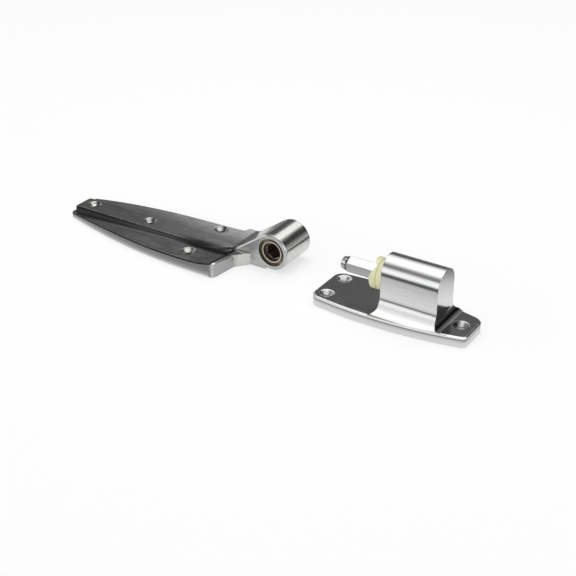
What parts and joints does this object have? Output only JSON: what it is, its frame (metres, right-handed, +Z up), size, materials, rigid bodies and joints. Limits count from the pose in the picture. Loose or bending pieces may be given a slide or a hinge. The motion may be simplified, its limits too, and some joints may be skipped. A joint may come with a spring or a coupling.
{
  "type": "fridge door hinge",
  "caption": "Lift-off cam-rise hinge for a walk-in fridge door: a long door strap with a sprung barrel, beside its frame flange with a hexagon pin.",
  "frame": {"origin": "bottom centre of the pair of leaves as they lie back down, side by side", "axes": "+X along both leaves from the strap's tip to the flange's single-hole end, +Y along the strap's barrel from its open mouth to its closed end, +Z up from the leaves' backs"},
  "size_m": [0.405, 0.0742, 0.0532],
  "materials": {
    "casting": "satin plated die casting",
    "pin_steel": "bright drawn steel",
    "sleeve_steel": "machined",
    "spring_steel": "oiled",
    "cam_nylon": "moulded nylon"
  },
  "bodies": {
    "frame_half": {"frame_flange": "casting", "hinge_pin": "pin_steel", "flange_cam": "cam_nylon"},
    "drive": {"drive_sleeve": "sleeve_steel"},
    "strap_half": {"door_strap": "casting", "barrel_cam": "cam_nylon", "closing_spring": "spring_steel"}
  },
  "joints": [
    {"name": "cam_rise", "type": "slide", "parent": "frame_half", "child": "drive", "axis": [0, 1, 0], "range_m": [0, 0.004]},
    {"name": "strap_swing", "type": "hinge", "parent": "drive", "child": "strap_half", "pos_m": [0.0105, 0.00255, 0.01726], "axis": [0, 1, 0], "range_deg": [0, 110], "stiffness_Nm_per_rad": 0.5}
  ],
  "couplings": [
    {"joint": "cam_rise", "follows": "strap_swing", "m_per_rad": 0.002083}
  ]
}
